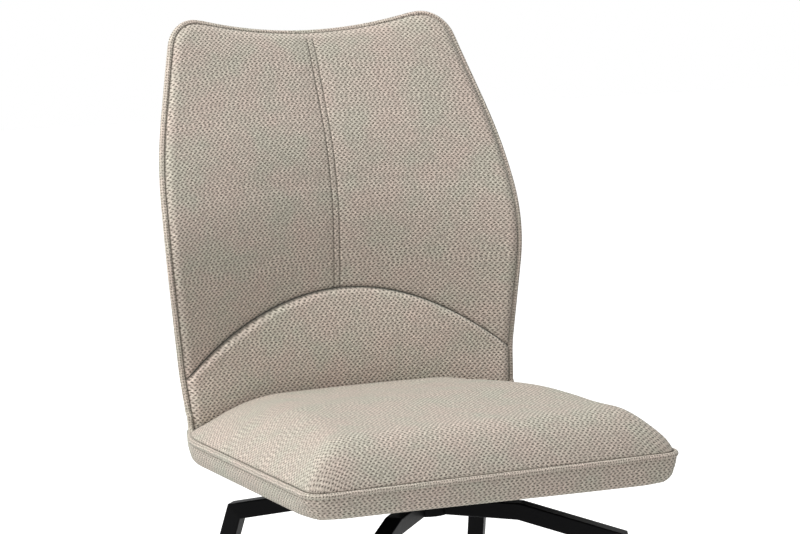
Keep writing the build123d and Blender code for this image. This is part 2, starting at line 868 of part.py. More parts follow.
def main():
    os.makedirs("parts", exist_ok=True)
    behind = behind_pads()
    piping = edge_piping(piping_radius)
    groove = edge_piping(piping_radius + layer_gap)
    back_shell = back_board()
    border = seat_border()
    screws = []
    brackets = {}
    for name, side in (("left", 1), ("right", -1)):
        stand = bracket_place(side)
        own_screws = [stand * one for one in bracket_screws()]
        bracket = stand * bracket_blank()
        for one in own_screws:
            bracket = bracket - one
        brackets[name] = bracket
        screws += own_screws
    nuts = board_nuts()
    bolts = plate_bolts()
    board = seat_board(behind)
    for one in screws + nuts + bolts:
        board = board - one
    for one in screws:
        back_shell = back_shell - one
    fittings = list(brackets.values()) + screws + nuts + bolts
    lumbar = lumbar_pad() - border - groove
    lumbar_room = layer(lumbar_front, far_behind, lumbar_heights)
    cushion = seat_cushion(lumbar_room) - border - groove
    for one in fittings:
        lumbar = lumbar - one
        cushion = cushion - one
    under = dust_cover(behind)
    for one in bolts:
        under = under - one
    right_pad, left_pad = upper_pads()
    cover = rear_cover() - groove
    for one in screws:
        cover = cover - one

    write_part("edge_piping", [piping])
    write_part("seat_border", [border - groove])
    write_part("seat_cushion", [cushion])
    write_part("seat_board", [board])
    write_part("dust_cover", [under])
    write_part("lumbar_pad", [lumbar])
    write_part("upper_pad_right", [right_pad - groove])
    write_part("upper_pad_left", [left_pad - groove])
    write_part("back_board", [back_shell])
    write_part("rear_cover", [cover])
    for name, bracket in brackets.items():
        write_part(f"back_bracket_{name}", [bracket])
    write_part("bracket_screws", screws)
    write_part("board_nuts", nuts)
    write_part("plate_bolts", bolts)
    write_part("swivel_plate", [swivel_plate()])
    write_part("spindle", [spindle()])
    write_part("retaining_ring", [retaining_ring()])

    screw_in_hub = stop_screw()
    write_part("hub_tube", [hub_tube() - screw_in_hub])
    write_part("upper_bush", [bush(hub_top - bush_height, bush_flange)])
    write_part("lower_bush", [bush(lower_bush_foot, 0)])
    write_part("thrust_washer", [thrust_washer()])
    write_part("return_spring", [return_spring()])
    write_part("stop_screw", [screw_in_hub])
    write_part("hub_cap", [hub_cap()])
    for end, fore in (("front", -1), ("rear", 1)):
        for name, side in (("left", 1), ("right", -1)):
            write_part(f"{end}_{name}_leg", [leg(side, fore)])
            write_part(f"{end}_{name}_foot", [leg_foot(side, fore)])


main()
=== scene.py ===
import math
from functools import partial

import bpy
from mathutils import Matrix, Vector, kdtree


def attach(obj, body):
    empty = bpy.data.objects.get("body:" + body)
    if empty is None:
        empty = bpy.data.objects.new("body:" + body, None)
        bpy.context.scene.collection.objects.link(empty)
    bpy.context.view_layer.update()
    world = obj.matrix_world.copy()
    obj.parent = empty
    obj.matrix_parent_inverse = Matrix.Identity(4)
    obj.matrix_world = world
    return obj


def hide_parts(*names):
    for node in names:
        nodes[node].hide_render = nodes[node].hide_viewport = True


# Swivel dining chair: woven upholstery over a moulded shell, black square-tube base.
# Shape values are in millimetres, z up from the floor, the chair faces -Y.

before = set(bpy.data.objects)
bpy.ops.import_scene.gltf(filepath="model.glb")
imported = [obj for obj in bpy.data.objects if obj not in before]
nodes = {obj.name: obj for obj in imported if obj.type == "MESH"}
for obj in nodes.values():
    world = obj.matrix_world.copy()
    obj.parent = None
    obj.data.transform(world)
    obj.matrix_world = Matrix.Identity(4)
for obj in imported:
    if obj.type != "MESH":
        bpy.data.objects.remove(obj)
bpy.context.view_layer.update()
mm = 0.001
settlePasses = 8        # for heights that depend on themselves
print("frame loaded:", len(nodes), "nodes")


# curves of the back, the same lines as the shell inside it; the lean is in degrees, the sides' flare
# and taper are slopes

backLines = {
    "face": 189.5, "bendHeight": 640, "bendRadius": 240, "lean": 23.5,
    "fullWidth": 237.5, "flare": 0.108, "taper": 0.3, "shoulderRadius": 488,
    "dipHeight": 928, "dipRadius": 670, "cornerRadius": 41,
    "hollowLow": 36, "hollowHigh": 9, "hollowStart": 640, "hollowEnd": 810,
    "padThickness": 30, "padTop": 12, "thinStart": 885,
    "rearRim": 17, "rearDepth": 15,
    "archApex": 619, "archRadius": 278, "archSkew": 2.5, "skewSpan": 260,
    "footStart": 548, "footEnd": 480, "footForward": 10, "footWiden": 1,
    "leastRise": 0.6, "partingGap": 0.3, "clothGain": 0.09, "clothEase": 60,
}


def ease(value, start, end):
    share = min(1, max(0, (value - start) / (end - start)))
    return (1 - math.cos(math.pi * share)) / 2


def roundOver(distance, radius):
    # 0 at the seam, 1 once the surface has turned out to its full height
    share = min(1, max(0, distance / radius))
    return math.sqrt(1 - (1 - share) ** 2)


def leanAt(z):
    b = backLines
    rise = max(0, z - b["bendHeight"])
    return min(math.radians(b["lean"]), math.asin(min(1, rise / b["bendRadius"])))


def backDepth(z):
    b = backLines
    lean = math.radians(b["lean"])
    bendRise = b["bendRadius"] * math.sin(lean)
    rise = max(0, z - b["bendHeight"])
    if rise <= bendRise:
        return b["face"] + b["bendRadius"] - math.sqrt(b["bendRadius"] ** 2 - rise ** 2)
    setback = b["bendRadius"] * (1 - math.cos(lean))
    return b["face"] + setback + (rise - bendRise) * math.tan(lean)


def edgeDepth(z):
    # the side edges sweep forward at their foot, into the seam round the seat
    b = backLines
    return backDepth(z) - b["footForward"] * (1 - ease(z, b["footEnd"], b["footStart"]))


def halfWidth(z):
    b = backLines
    flare, taper = math.atan(b["flare"]), math.atan(b["taper"])
    start = b["bendHeight"]
    end = start + b["shoulderRadius"] * (math.sin(flare) + math.sin(taper))
    if z <= start:
        foot = b["footWiden"] * (1 - ease(z, b["footEnd"], b["footStart"]))
        return b["fullWidth"] + foot - (start - z) * b["flare"]
    risen = min(z, end) - start - b["shoulderRadius"] * math.sin(flare)
    rounded = b["fullWidth"] + math.sqrt(b["shoulderRadius"] ** 2 - risen ** 2) \
        - b["shoulderRadius"] * math.cos(flare)
    return rounded - max(0, z - end) * b["taper"]


def hollowAt(z):
    b = backLines
    return b["hollowLow"] + (b["hollowHigh"] - b["hollowLow"]) * ease(z, b["hollowStart"], b["hollowEnd"])


def padDepth(z):
    b = backLines
    return b["padThickness"] + (b["padTop"] - b["padThickness"]) * ease(z, b["thinStart"], b["dipHeight"])


def acrossBack(x, edge, middle, z):
    # level arc through both side edges and the middle
    width, sag = halfWidth(z), middle - edge
    if abs(sag) < 0.01:
        return edge
    radius = (width ** 2 + sag ** 2) / (2 * sag)
    return middle - radius + math.copysign(math.sqrt(radius ** 2 - min(x * x, width * width)), radius)


def partingDepth(x, z):
    # where the front pads end and the rear cover begins
    return acrossBack(x, edgeDepth(z), backDepth(z) + hollowAt(z) + padDepth(z), z)


def archHeight(x):
    # the arched seam, sewn a touch higher on one side
    b = backLines
    skew = b["archSkew"] * math.sin(math.pi * x / b["skewSpan"])
    return b["archApex"] - x * x / (2 * b["archRadius"]) + skew


def topHeight(x):
    # height of the dipped top edge, followed along the parting line
    b = backLines
    level = b["dipHeight"] + x * x / (2 * b["dipRadius"])
    crest = partingDepth(0, b["dipHeight"])
    slope = math.tan(math.radians(b["lean"]))
    z = level
    for _ in range(settlePasses):
        z = level + (crest - partingDepth(x, z)) * slope
    return z


# small mesh tools

def evenly(end, count):
    # even steps from 0 to an end, both included
    return [end * k / count for k in range(count + 1)]


def meshPiece(name, points, faces, uvs, shades=None):
    # shades: painted shade for each point, 0 to 1, darkest in seams and creases
    mesh = bpy.data.meshes.new(name)
    mesh.from_pydata([Vector(p) * mm for p in points], [], faces)
    layer = mesh.uv_layers.new(name="cloth")
    for loop in mesh.loops:
        u, v = uvs[loop.vertex_index]
        layer.data[loop.index].uv = (u * mm, v * mm)
    paintedSeamShade = mesh.attributes.new("paintedSeamShade", "FLOAT", "POINT")
    if shades:
        paintedSeamShade.data.foreach_set("value", shades)
    mesh.shade_smooth()
    piece = bpy.data.objects.new(name, mesh)
    bpy.context.scene.collection.objects.link(piece)
    mesh.validate()
    return piece


def spacing(count, crowd):
    # positions from 0 to 1 that crowd together at both ends
    steps = []
    for i in range(count + 1):
        t = i / count
        steps.append((1 - crowd) * t + crowd * (1 - math.cos(math.pi * t)) / 2)
    return steps


def gridFaces(columns, rows, first, flip):
    faces = []
    for r in range(rows - 1):
        for c in range(columns - 1):
            a = first + r * columns + c
            quad = (a, a + 1, a + 1 + columns, a + columns)
            faces.append(quad[::-1] if flip else quad)
    return faces


def rimLoop(columns, rows):
    loop = [c for c in range(columns)]
    loop += [r * columns + columns - 1 for r in range(1, rows)]
    loop += [(rows - 1) * columns + c for c in range(columns - 2, -1, -1)]
    loop += [r * columns for r in range(rows - 2, 0, -1)]
    return loop


def closedPad(name, near, far, uvs, shades, columns, rows, flip=False):
    # two grids with the same outline, joined round the rim
    count = columns * rows
    faces = gridFaces(columns, rows, 0, flip) + gridFaces(columns, rows, count, not flip)
    rim = rimLoop(columns, rows)
    for i, a in enumerate(rim):
        b = rim[(i + 1) % len(rim)]
        quad = (b, a, a + count, b + count)
        faces.append(quad[::-1] if flip else quad)
    return meshPiece(name, near + far, faces, uvs + uvs, shades + shades)


def seamLine(distance, width):
    # strength of the painted shade at a seam: 1 in the seam, fading out over its width
    return max(0.0, 1 - distance / width) ** 0.7


def coons(bottom, top, left, right, us, vs):
    # smooth patch between four edge curves, each a function of 0..1
    grid = []
    corners = (bottom(0), bottom(1), top(0), top(1))
    for v in vs:
        for u in us:
            b, t, l, r = bottom(u), top(u), left(v), right(v)
            point = []
            for k in range(2):
                flat = (1 - u) * (1 - v) * corners[0][k] + u * (1 - v) * corners[1][k] \
                    + (1 - u) * v * corners[2][k] + u * v * corners[3][k]
                point.append((1 - v) * b[k] + v * t[k] + (1 - u) * l[k] + u * r[k] - flat)
            grid.append(tuple(point))
    return grid


def along(points):
    # function of 0..1 that runs evenly along a line of points
    lengths = [0]
    for a, b in zip(points, points[1:]):
        lengths.append(lengths[-1] + math.dist(a, b))

    def at(share):
        goal = share * lengths[-1]
        for i in range(1, len(lengths)):
            if lengths[i] >= goal or i == len(lengths) - 1:
                span = lengths[i] - lengths[i - 1] or 1
                k = (goal - lengths[i - 1]) / span
                return tuple(p + (q - p) * k for p, q in zip(points[i - 1], points[i]))
    return at


def dense(line, step=1.5):
    length = sum(math.dist(a, b) for a, b in zip(line, line[1:]))
    at = along(line)
    return [at(t) for t in evenly(1, max(1, int(length / step)))]


def clothLie(points, columns, rows):
    # lays cloth over a grid: lengths measured over the surface from its middle
    uvs = [None] * len(points)
    midColumn, midRow = columns // 2, rows // 2
    up = [0.0] * len(points)
    for c in range(columns):
        for direction in (1, -1):
            run, r = 0.0, midRow
            while 0 <= r + direction < rows:
                run += direction * math.dist(points[r * columns + c], points[(r + direction) * columns + c])
                r += direction
                up[r * columns + c] = run
    for r in range(rows):
        for direction in (1, -1):
            run, c = 0.0, midColumn
            uvs[r * columns + c] = (run, up[r * columns + c])
            while 0 <= c + direction < columns:
                run += direction * math.dist(points[r * columns + c], points[r * columns + c + direction])
                c += direction
                uvs[r * columns + c] = (run, up[r * columns + c])
    return uvs


def nearTree(points):
    tree = kdtree.KDTree(len(points))
    for i, p in enumerate(points):
        tree.insert((p[0], p[1], 0), i)
    tree.balance()
    return tree


def turnArc(hub, start, end, turn, count):
    # points of an arc round a hub, from one spoke to the other
    return [hub + (start * math.sin((1 - t) * turn) + end * math.sin(t * turn)) / math.sin(turn)
            for t in evenly(1, count)]


def ringFaces(first, rings, sides):
    # quads between rings of points that follow each other
    faces = []
    for i in range(rings - 1):
        for s in range(sides):
            a, b = first + i * sides + s, first + i * sides + (s + 1) % sides
            faces.append((a, b, b + sides, a + sides))
    return faces


def closedTube(name, line, radius, sides):
    # round tube along a line that ends where it starts, its frame carried along without twist
    points, uvs = [], []
    side = (line[1] - line[0]).normalized().orthogonal().normalized()
    run = 0
    last = len(line) - 1
    for i, p in enumerate(line):
        before = line[i - 1 if i else last - 1]
        after = line[i + 1 if i < last else 1]
        turned = (after - before).normalized()
        side = (side - turned * side.dot(turned)).normalized()
        other = turned.cross(side)
        if i:
            run += (p - line[i - 1]).length
        for s in range(sides):
            angle = 2 * math.pi * s / sides
            points.append(p + radius * (math.cos(angle) * side + math.sin(angle) * other))
            uvs.append((run, radius * angle))
    return meshPiece(name, points, ringFaces(0, last + 1, sides), uvs)


def roundedLine(corners, radii, step):
    # straight runs joined by tangent arcs, given as closely spaced points
    line = [Vector(corners[0])]
    for i, radius in enumerate(radii, 1):
        before, here, after = (Vector(corners[i + k]) for k in (-1, 0, 1))
        a, b = (before - here).normalized(), (after - here).normalized()
        half = a.angle(b) / 2
        reach = radius / math.tan(half)
        hub = here + (a + b).normalized() * radius / math.sin(half)
        turn = math.pi - 2 * half
        count = max(2, int(radius * turn / step) + 1)
        line += turnArc(hub, here + a * reach - hub, here + b * reach - hub, turn, count)
    line.append(Vector(corners[-1]))
    close = [line[0]]
    for a, b in zip(line, line[1:]):
        count = max(1, int((b - a).length / step))
        close += [a.lerp(b, k / count) for k in range(1, count + 1)]
    return close


# materials

def newMaterial(name, color, roughness, metallic=0.0):
    material = bpy.data.materials.new(name)
    material.use_nodes = True
    shader = material.node_tree.nodes["Principled BSDF"]
    shader.inputs["Base Color"].default_value = (*color, 1)
    shader.inputs["Roughness"].default_value = roughness
    shader.inputs["Metallic"].default_value = metallic
    return material, material.node_tree, shader


def mathNode(tree, operation, a, b=None, c=None):
    node = tree.nodes.new("ShaderNodeMath")
    node.operation = operation
    for socket, value in zip(node.inputs, (a, b, c)):
        if value is None:
            continue
        if isinstance(value, (int, float)):
            socket.default_value = value
        else:
            tree.links.new(value, socket)
    return node.outputs[0]


def noiseNode(tree, vector, scale, detail=2.0, roughness=0.5):
    node = tree.nodes.new("ShaderNodeTexNoise")
    node.inputs["Scale"].default_value = scale
    node.inputs["Detail"].default_value = detail
    node.inputs["Roughness"].default_value = roughness
    tree.links.new(vector, node.inputs["Vector"])
    return node


def chanceNode(tree, dimensions, socket, value):
    node = tree.nodes.new("ShaderNodeTexWhiteNoise")
    node.noise_dimensions = dimensions
    tree.links.new(value, node.inputs[socket])
    return node.outputs["Value"]


def rampNode(tree, value, stops):
    node = tree.nodes.new("ShaderNodeValToRGB")
    ramp = node.color_ramp
    while len(ramp.elements) < len(stops):
        ramp.elements.new(0.5)
    for element, (place, color) in zip(ramp.elements, stops):
        element.position = place
        element.color = (*color, 1)
    tree.links.new(value, node.inputs["Fac"])
    return node.outputs["Color"]


def mixColors(tree, factor, first, second, blend="MIX"):
    node = tree.nodes.new("ShaderNodeMix")
    node.data_type = "RGBA"
    node.blend_type = blend
    sockets = (node.inputs["Factor"], node.inputs["A"], node.inputs["B"])
    for socket, value in zip(sockets, (factor, first, second)):
        if isinstance(value, (int, float)):
            socket.default_value = value
        elif isinstance(value, tuple):
            socket.default_value = (*value, 1)
        else:
            tree.links.new(value, socket)
    return node.outputs["Result"]


def objectPlace(tree):
    return tree.nodes.new("ShaderNodeTexCoord").outputs["Object"]


def addTone(tree, shader, value, dark, pale):
    # colour that follows a noise, from its dark patches to its pale ones
    tree.links.new(rampNode(tree, value, [(0.3, dark), (0.7, pale)]), shader.inputs["Base Color"])


def addBump(tree, shader, height, strength, distance):
    bump = tree.nodes.new("ShaderNodeBump")
    bump.inputs["Strength"].default_value = strength
    bump.inputs["Distance"].default_value = distance
    tree.links.new(height, bump.inputs["Height"])
    tree.links.new(bump.outputs["Normal"], shader.inputs["Normal"])


weave = {
    "floatPitch": 6.2,      # mm from one yarn float to the next along a row
    "rowPitch": 3.0,        # mm from row to row
    "slant": 0.34,          # lean of the floats, one way and the other in turn
    "shift": 0.3,           # how far a row slips against the next
    "pitLength": 1.75, "pitWidth": 1.05, "pitDepth": 0.85,
    "pitShade": 0.8, "pitShadeSpread": 0.35, "rowShade": 0.4, "roundness": 0.3,
    "drift": 2.6, "jitter": 0.9,        # mm that the yarns wander, slowly and from float to float
    "driftNoise": 55, "jitterNoise": 330, "upShare": 0.7,
    "strandNoise": 620, "fuzzNoise": 2600, "blotchNoise": 17,
    "strandRelief": 0.4, "fuzzRelief": 0.15,
    "light": (0.60, 0.527, 0.462),
    "warm": (0.625, 0.525, 0.465),
    "cool": (0.565, 0.53, 0.455),
    "pit": (0.055, 0.044, 0.034),
    # colour of the painted shade in seams, creases and stitch grooves
    "seam": (0.075, 0.062, 0.05),
    "dullYarn": (0.88, 0.875, 0.87), "brightYarn": (1.12, 1.12, 1.11),
    "dullFibre": (0.5, 0.49, 0.48), "brightFibre": (1.46, 1.46, 1.44),
    "bump": 0.9, "bumpDepth": 1.0,
    "roughness": 0.92, "sheen": 0.25, "sheenTint": (0.88, 1.0, 0.9),
}


def wanderingPlace(tree, place, scale):
    w = weave
    for size, wander in ((w["driftNoise"], w["drift"]), (w["jitterNoise"], w["jitter"] * scale)):
        spread = tree.nodes.new("ShaderNodeVectorMath")
        spread.operation = "MULTIPLY_ADD"
        tree.links.new(noiseNode(tree, place, size, 1).outputs["Color"], spread.inputs[0])
        spread.inputs[1].default_value = (wander * mm, wander * w["upShare"] * mm, 0)
        tree.links.new(place, spread.inputs[2])
        place = spread.outputs[0]
    return place


def yarnFloats(tree, place, scale):
    # place across the row and along the float, 0 to 1 each, and a chance value for every float
    w = weave
    calc = partial(mathNode, tree)
    parts = tree.nodes.new("ShaderNodeSeparateXYZ")
    tree.links.new(place, parts.inputs[0])
    across = calc("MULTIPLY", parts.outputs["X"], 1 / (w["floatPitch"] * scale * mm))
    up = calc("MULTIPLY", parts.outputs["Y"], 1 / (w["rowPitch"] * scale * mm))
    row = calc("FLOOR", up)
    inRow = calc("SUBTRACT", up, row)
    other = calc("PINGPONG", row, 1.0)
    way = calc("MULTIPLY_ADD", other, -2.0, 1.0)
    lean = calc("MULTIPLY", way, calc("MULTIPLY_ADD", inRow, w["slant"], -w["slant"] / 2))
    across = calc("ADD", calc("MULTIPLY_ADD", other, 0.5, across), lean)
    across = calc("MULTIPLY_ADD", chanceNode(tree, "1D", "W", row), w["shift"], across)
    cell = calc("FLOOR", across)
    key = tree.nodes.new("ShaderNodeCombineXYZ")
    tree.links.new(cell, key.inputs["X"])
    tree.links.new(row, key.inputs["Y"])
    return inRow, calc("SUBTRACT", across, cell), chanceNode(tree, "2D", "Vector", key.outputs[0])


def wovenCloth(name, scale=1.0, contrast=1.0, turn=0.0, paintedLightGain=1.0):
    # rows of short yarn floats, leaning left and right in turn, with dark pits between their ends;
    # a gain above 1 makes every tone paler: painted light, for a piece that the lamps leave too dark
    w = weave
    warm, light, cool = (tuple(c * paintedLightGain for c in w[tone]) for tone in ("warm", "light", "cool"))
    material, tree, shader = newMaterial(name, light, w["roughness"])
    calc = partial(mathNode, tree)
    uv = tree.nodes.new("ShaderNodeUVMap")
    uv.uv_map = "cloth"
    turned = tree.nodes.new("ShaderNodeMapping")
    turned.inputs["Rotation"].default_value = (0, 0, turn)
    tree.links.new(uv.outputs["UV"], turned.inputs["Vector"])
    place = turned.outputs["Vector"]
    inRow, inFloat, chance = yarnFloats(tree, wanderingPlace(tree, place, scale), scale)

    toEnd = calc("SUBTRACT", 0.5, calc("ABSOLUTE", calc("SUBTRACT", inFloat, 0.5)))
    toEnd = calc("MULTIPLY", toEnd, w["floatPitch"] / w["pitLength"])
    offRow = calc("MULTIPLY", calc("SUBTRACT", inRow, 0.5), w["rowPitch"] / w["pitWidth"])
    away = calc("ADD", calc("POWER", toEnd, 2.0), calc("MULTIPLY", offRow, offRow))
    pit = calc("EXPONENT", calc("MULTIPLY", away, -1.0))
    girth = calc("POWER", calc("SINE", calc("MULTIPLY", inRow, math.pi)), 0.5)
    yarnTop = calc("MULTIPLY_ADD", girth, w["roundness"], 1 - w["roundness"])
    height = calc("MULTIPLY_ADD", pit, -w["pitDepth"], yarnTop)

    strands = noiseNode(tree, place, w["strandNoise"], 4, 0.7).outputs["Fac"]
    fuzz = noiseNode(tree, place, w["fuzzNoise"], 2, 0.6).outputs["Fac"]
    blotch = noiseNode(tree, place, w["blotchNoise"], 3, 0.6).outputs["Fac"]
    tone = rampNode(tree, blotch, [(0.36, warm), (0.5, light), (0.64, cool)])
    yarn = rampNode(tree, chance, [(0.0, w["dullYarn"]), (1.0, w["brightYarn"])])
    fibre = rampNode(tree, strands, [(0.3, w["dullFibre"]), (0.7, w["brightFibre"])])
    tone = mixColors(tree, 1.0, tone, yarn, "MULTIPLY")
    tone = mixColors(tree, 1.0, tone, fibre, "MULTIPLY")
    depth = calc("MULTIPLY_ADD", chance, w["pitShadeSpread"] * contrast, w["pitShade"] * contrast)
    between = calc("MULTIPLY_ADD", girth, -w["rowShade"] * contrast, w["rowShade"] * contrast)
    shaded = calc("MAXIMUM", calc("MULTIPLY", pit, depth), between)
    # painted shade: the mesh attribute mixes the seam colour in, darkening seams, creases, stitch grooves and
    # the seat's front
    paintedShadeMask = tree.nodes.new("ShaderNodeAttribute")
    paintedShadeMask.attribute_name = "paintedSeamShade"
    color = mixColors(tree, paintedShadeMask.outputs["Fac"], mixColors(tree, shaded, tone, w["pit"]), w["seam"])
    tree.links.new(color, shader.inputs["Base Color"])

    relief = calc("MULTIPLY_ADD", strands, w["strandRelief"], height)
    relief = calc("MULTIPLY_ADD", fuzz, w["fuzzRelief"], relief)
    addBump(tree, shader, relief, w["bump"] * contrast, w["bumpDepth"] * scale * mm)
    shader.inputs["Sheen Weight"].default_value = w["sheen"]
    shader.inputs["Sheen Tint"].default_value = (*w["sheenTint"], 1)
    shader.inputs["Sheen Roughness"].default_value = 0.5
    shader.inputs["Specular IOR Level"].default_value = 0.15
    return material


def sewingThread(name):
    material, tree, shader = newMaterial(name, (0.12, 0.1, 0.085), 0.8)
    twist = noiseNode(tree, objectPlace(tree), 2400, 2)
    addTone(tree, shader, twist.outputs["Fac"], (0.07, 0.06, 0.05), (0.17, 0.145, 0.12))
    return material


def paintedSteel(name):
    # fine powder coat, a little rubbed and duller in patches
    material, tree, shader = newMaterial(name, (0.003, 0.003, 0.0034), 0.45)
    place = objectPlace(tree)
    grain = noiseNode(tree, place, 2600, 2)
    patch = noiseNode(tree, place, 14, 3)
    shader.inputs["Specular IOR Level"].default_value = 0.045
    rough = tree.nodes.new("ShaderNodeMapRange")
    rough.inputs["To Min"].default_value = 0.34
    rough.inputs["To Max"].default_value = 0.5
    tree.links.new(patch.outputs["Fac"], rough.inputs["Value"])
    tree.links.new(rough.outputs["Result"], shader.inputs["Roughness"])
    addBump(tree, shader, grain.outputs["Fac"], 0.18, 0.0002)
    return material


def platedSteel(name, color, roughness):
    material, tree, shader = newMaterial(name, color, roughness, 1.0)
    place = objectPlace(tree)
    haze = noiseNode(tree, place, 120, 4, 0.6)
    addTone(tree, shader, haze.outputs["Fac"], tuple(c * 0.75 for c in color), color)
    addBump(tree, shader, noiseNode(tree, place, 1800, 2).outputs["Fac"], 0.15, 0.0001)
    return material


def mouldedPlastic(name, color, roughness):
    material, tree, shader = newMaterial(name, color, roughness)
    place = objectPlace(tree)
    addBump(tree, shader, noiseNode(tree, place, 1500, 3).outputs["Fac"], 0.25, 0.0002)
    haze = noiseNode(tree, place, 40, 2)
    addTone(tree, shader, haze.outputs["Fac"], tuple(c * 0.85 for c in color), color)
    return material


def plywood(name):
    material, tree, shader = newMaterial(name, (0.55, 0.4, 0.25), 0.6)
    stretched = tree.nodes.new("ShaderNodeMapping")
    stretched.inputs["Scale"].default_value = (1, 12, 1)
    tree.links.new(objectPlace(tree), stretched.inputs["Vector"])
    grain = noiseNode(tree, stretched.outputs["Vector"], 22, 5, 0.6)
    addTone(tree, shader, grain.outputs["Fac"], (0.42, 0.28, 0.16), (0.62, 0.46, 0.3))
    addBump(tree, shader, grain.outputs["Fac"], 0.2, 0.0003)
    return material


def liningCloth(name):
    # thin black non-woven sheet with a pressed dot pattern
    material, tree, shader = newMaterial(name, (0.02, 0.02, 0.02), 0.95)
    place = objectPlace(tree)
    dots = tree.nodes.new("ShaderNodeTexVoronoi")
    dots.inputs["Scale"].default_value = 420
    dots.inputs["Randomness"].default_value = 0.15
    tree.links.new(place, dots.inputs["Vector"])
    fibres = noiseNode(tree, place, 700, 4, 0.7)
    addTone(tree, shader, fibres.outputs["Fac"], (0.012, 0.012, 0.012), (0.04, 0.04, 0.04))
    addBump(tree, shader, dots.outputs["Distance"], 0.4, 0.0004)
    return material


coverCloth = wovenCloth("coverCloth")
# the lumbar's cloth is the same cloth made 10 % paler: painted light, where the lamps leave the lumbar too
# dark
lumbarPaintedLightCloth = wovenCloth("lumbarPaintedLightCloth", paintedLightGain=1.1)
pipingCloth = wovenCloth("pipingCloth", scale=0.8, turn=math.radians(45))
stitchThread = sewingThread("stitchThread")
blackTube = paintedSteel("blackTube")
zincSteel = platedSteel("zincSteel", (0.55, 0.55, 0.56), 0.34)
nylonBush = mouldedPlastic("nylonBush", (0.7, 0.69, 0.64), 0.5)
blackPlastic = mouldedPlastic("blackPlastic", (0.02, 0.02, 0.02), 0.55)
shellPly = plywood("shellPly")
lining = liningCloth("lining")
print("materials made")

nodeFinish = {
    "hub_tube": blackTube, "swivel_plate": blackTube, "hub_cap": blackPlastic,
    "upper_bush": nylonBush, "lower_bush": nylonBush, "thrust_washer": nylonBush,
    "seat_board": shellPly, "back_board": shellPly, "dust_cover": lining,
}
for corner in ("front_left", "front_right", "rear_left", "rear_right"):
    nodeFinish[corner + "_leg"] = blackTube
    nodeFinish[corner + "_foot"] = blackPlastic
for nodeName, node in nodes.items():
    node.data.materials.clear()
    node.data.materials.append(nodeFinish.get(nodeName, zincSteel))


# front pads of the back

outlineSteps = {
    "foot": 420, "top": 960, "reach": 210, "step": 2,       # up one side, and in along the top
    "slopeRun": 30, "cornerSteps": 24, "arcGap": 1, "archStart": -10, "archEnd": 260,
}
upperPad = {
    "inset": 6.2, "topInset": 4.4,      # from the outline to where the cloth dives at the piping
    "rim": 8, "edgeRound": 12, "archRound": 7, "archDrop": 2.5,
    "puff": 2.5, "puffEdge": 60, "puffArch": 70, "topDrop": 3.0, "topReach": 45,
    "seamDip": 1.2, "seamWidth": 15,
    "stitchGap": 4.0, "stitchDip": 1.2, "stitchWidth": 1.3, "stitchTopFade": 17, "stitchFadeRun": 6,
    # painted shade: widths of the darkening at the seams and the arched seam, strength and width along the
    # stitch grooves
    "seamShadeWidth": 1.8, "archShadeWidth": 1.6, "stitchShade": 0.55, "stitchShadeWidth": 0.8,
    "columns": 130, "rows": 180, "crowd": 0.75, "archSteps": 60,
}
stitches = {
    "pitch": 5.2, "length": 3.8, "radius": 0.5, "sides": 6, "aboveArch": 4, "toEdge": 90,
    # along a stitch: share of its length, share of its radius, depth that it sinks into the cloth
    "profile": ((0.0, 0.45, 0.35), (0.2, 1.0, -0.15), (0.8, 1.0, -0.15), (1.0, 0.45, 0.35)),
}


def padFace(z):
    # front face of the upper pads: depth at the side edges and in the middle
    return edgeDepth(z) - upperPad["rim"], backDepth(z) + hollowAt(z)


def upperOutline(inset, topInset):
    # one half of the outline: up the side, round the top corner, in along the dip
    o = outlineSteps
    radius = backLines["cornerRadius"] - (inset + topInset) / 2
    side = [(halfWidth(z) - inset, z) for z in range(o["foot"], o["top"], o["step"])]
    top = [(x, topHeight(x) - topInset) for x in range(0, o["reach"], o["step"])]
    x, z = min(side, key=lambda p: min(math.dist(p, q) for q in top))
    run = o["slopeRun"]
    topWay = Vector((-1, -(topHeight(x) - topHeight(x - run)) / run)).normalized()
    sideWay = Vector((halfWidth(z - run) - halfWidth(z), -run)).normalized()
    half = topWay.angle(sideWay) / 2
    reach = radius / math.tan(half)
    corner = Vector((x, z))
    hub = corner + (topWay + sideWay).normalized() * radius / math.sin(half)
    arc = turnArc(hub, corner + sideWay * reach - hub, corner + topWay * reach - hub,
                  math.pi - 2 * half, o["cornerSteps"])
    arc = [tuple(p) for p in arc]
    low = [p for p in side if p[1] < arc[0][1] - o["arcGap"]]
    high = [p for p in reversed(top) if p[0] < arc[-1][0] - o["arcGap"]]
    return low, arc, high


def halves(line):
    # both halves of a line of points, which share its middle point
    middle = len(line) // 2
    return line[:middle + 1], line[middle:]


def mirrored(line):
    return [(-x, z) for x, z in line]


def stitchFade(x, z):
    s = upperPad
    return ease(topHeight(x) - z, s["stitchTopFade"] - s["stitchFadeRun"], s["stitchTopFade"])


def upperRise(x, z, toEdge, toArch):
    # how far the pad's face stands in front of the parting line
    s = upperPad
    edge, deep = padFace(z)
    rise = partingDepth(x, z) - acrossBack(x, edge, deep, z)
    rise += s["puff"] * math.sin(math.pi * min(1, abs(x) / halfWidth(z))) \
        * roundOver(toEdge, s["puffEdge"]) * roundOver(toArch, s["puffArch"])
    rise -= s["seamDip"] * math.exp(-(x / s["seamWidth"]) ** 2)
    rise -= s["stitchDip"] * stitchFade(x, z) * math.exp(-((abs(x) - s["stitchGap"]) / s["stitchWidth"]) ** 2)
    rise -= s["archDrop"] * (1 - roundOver(toArch, s["archRound"]))
    rise -= s["topDrop"] * (1 - ease(topHeight(x) - z, 0, s["topReach"]))
    return max(rise * roundOver(toEdge, s["edgeRound"]), backLines["leastRise"])


